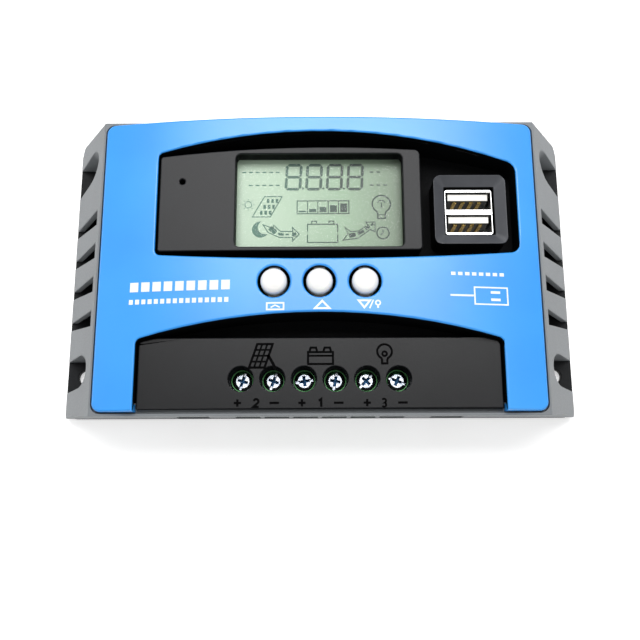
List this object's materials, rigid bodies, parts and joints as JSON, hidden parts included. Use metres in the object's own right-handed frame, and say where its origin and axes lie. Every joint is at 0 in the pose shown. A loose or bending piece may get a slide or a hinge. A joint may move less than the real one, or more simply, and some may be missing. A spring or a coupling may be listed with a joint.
{
  "type": "charge controller",
  "caption": "Solar charge controller: gray finned case, arched blue cover, display, buttons, stacked charging ports and a row of screw terminals with wire entries.",
  "frame": {"origin": "middle of the underside's bounding box, on the face that lies against the wall", "axes": "+X to the right of the face, +Y from the terminals towards the rear edge, +Z out of the face"},
  "size_m": [0.15, 0.0866, 0.0347],
  "materials": {
    "plate_dark": "satin",
    "case_gray": "fine texture",
    "cover_blue": "fine texture",
    "panel_black": "satin",
    "lcd_glass": "clear",
    "lcd_layer": "satin",
    "diffuser": "satin",
    "white_plastic": "satin",
    "cap_white": "satin",
    "led_lens": "clear",
    "switch_black": "satin",
    "switch_stem": "satin",
    "usb_steel": "bright",
    "gold_contact": "bright",
    "terminal_green": "satin",
    "tinned_pin": "bright",
    "board_green": "satin",
    "brass_turned": "turned",
    "zinc_steel": "bright",
    "package_black": "satin",
    "capacitor_sleeve": "gloss",
    "core_yellow": "satin",
    "copper_wire": "enamelled",
    "fuse_orange": "clear"
  },
  "bodies": {
    "root": {"back_plate": "plate_dark", "housing": "case_gray", "face_cover": "cover_blue", "display_panel": "panel_black", "terminal_deck": "panel_black", "lcd_front_glass": "lcd_glass", "lcd_rear_glass": "lcd_layer", "lcd_backlight": "diffuser", "lcd_holder": "white_plastic", "lcd_pins": "tinned_pin", "status_led": "led_lens", "switch_bodies": "switch_black", "usb_shell": "usb_steel", "usb_insulator": "white_plastic", "usb_contacts": "gold_contact", "terminal_block": "terminal_green", "terminal_bars": "tinned_pin", "main_board": "board_green", "display_board": "board_green", "board_header": "switch_black", "board_spacers": "brass_turned", "board_screws": "zinc_steel", "display_standoffs": "brass_turned", "display_screws": "zinc_steel", "case_screws": "zinc_steel", "mosfets": "package_black", "capacitors": "capacitor_sleeve", "inductor_core": "core_yellow", "inductor_winding": "copper_wire", "controller_chip": "package_black", "regulator": "package_black", "fuse": "fuse_orange", "shunt": "tinned_pin"},
    "left_button": {"button_left": "cap_white", "switch_plunger_left": "switch_stem"},
    "middle_button": {"button_middle": "cap_white", "switch_plunger_middle": "switch_stem"},
    "right_button": {"button_right": "cap_white", "switch_plunger_right": "switch_stem"},
    "screw_1": {"terminal_screw_1": "zinc_steel"},
    "cage_1": {"clamp_cage_1": "zinc_steel"},
    "screw_2": {"terminal_screw_2": "zinc_steel"},
    "cage_2": {"clamp_cage_2": "zinc_steel"},
    "screw_3": {"terminal_screw_3": "zinc_steel"},
    "cage_3": {"clamp_cage_3": "zinc_steel"},
    "screw_4": {"terminal_screw_4": "zinc_steel"},
    "cage_4": {"clamp_cage_4": "zinc_steel"},
    "screw_5": {"terminal_screw_5": "zinc_steel"},
    "cage_5": {"clamp_cage_5": "zinc_steel"},
    "screw_6": {"terminal_screw_6": "zinc_steel"},
    "cage_6": {"clamp_cage_6": "zinc_steel"}
  },
  "joints": [
    {"name": "left_button_press", "type": "slide", "parent": "root", "child": "left_button", "axis": [0, 0, -1], "range_m": [0, 0.0005], "stiffness_N_per_m": 1500, "springref_m": -0.0003},
    {"name": "middle_button_press", "type": "slide", "parent": "root", "child": "middle_button", "axis": [0, 0, -1], "range_m": [0, 0.0005], "stiffness_N_per_m": 1500, "springref_m": -0.0003},
    {"name": "right_button_press", "type": "slide", "parent": "root", "child": "right_button", "axis": [0, 0, -1], "range_m": [0, 0.0005], "stiffness_N_per_m": 1500, "springref_m": -0.0003},
    {"name": "screw_1_turn", "type": "hinge", "parent": "root", "child": "screw_1", "pos_m": [-0.02088, -0.0336, 0.021], "axis": [0, 0, 1], "range_deg": [-1852, 0]},
    {"name": "cage_1_rise", "type": "slide", "parent": "root", "child": "cage_1", "axis": [0, 0, 1], "range_m": [0, 0.0036]},
    {"name": "screw_2_turn", "type": "hinge", "parent": "root", "child": "screw_2", "pos_m": [-0.01252, -0.0336, 0.021], "axis": [0, 0, 1], "range_deg": [-1852, 0]},
    {"name": "cage_2_rise", "type": "slide", "parent": "root", "child": "cage_2", "axis": [0, 0, 1], "range_m": [0, 0.0036]},
    {"name": "screw_3_turn", "type": "hinge", "parent": "root", "child": "screw_3", "pos_m": [-0.00417, -0.0336, 0.021], "axis": [0, 0, 1], "range_deg": [-1852, 0]},
    {"name": "cage_3_rise", "type": "slide", "parent": "root", "child": "cage_3", "axis": [0, 0, 1], "range_m": [0, 0.0036]},
    {"name": "screw_4_turn", "type": "hinge", "parent": "root", "child": "screw_4", "pos_m": [0.00417, -0.0336, 0.021], "axis": [0, 0, 1], "range_deg": [-1852, 0]},
    {"name": "cage_4_rise", "type": "slide", "parent": "root", "child": "cage_4", "axis": [0, 0, 1], "range_m": [0, 0.0036]},
    {"name": "screw_5_turn", "type": "hinge", "parent": "root", "child": "screw_5", "pos_m": [0.01252, -0.0336, 0.021], "axis": [0, 0, 1], "range_deg": [-1852, 0]},
    {"name": "cage_5_rise", "type": "slide", "parent": "root", "child": "cage_5", "axis": [0, 0, 1], "range_m": [0, 0.0036]},
    {"name": "screw_6_turn", "type": "hinge", "parent": "root", "child": "screw_6", "pos_m": [0.02088, -0.0336, 0.021], "axis": [0, 0, 1], "range_deg": [-1852, 0]},
    {"name": "cage_6_rise", "type": "slide", "parent": "root", "child": "cage_6", "axis": [0, 0, 1], "range_m": [0, 0.0036]}
  ],
  "couplings": [
    {"joint": "screw_1_turn", "follows": "cage_1_rise", "rad_per_m": -8976},
    {"joint": "screw_2_turn", "follows": "cage_2_rise", "rad_per_m": -8976},
    {"joint": "screw_3_turn", "follows": "cage_3_rise", "rad_per_m": -8976},
    {"joint": "screw_4_turn", "follows": "cage_4_rise", "rad_per_m": -8976},
    {"joint": "screw_5_turn", "follows": "cage_5_rise", "rad_per_m": -8976},
    {"joint": "screw_6_turn", "follows": "cage_6_rise", "rad_per_m": -8976}
  ]
}
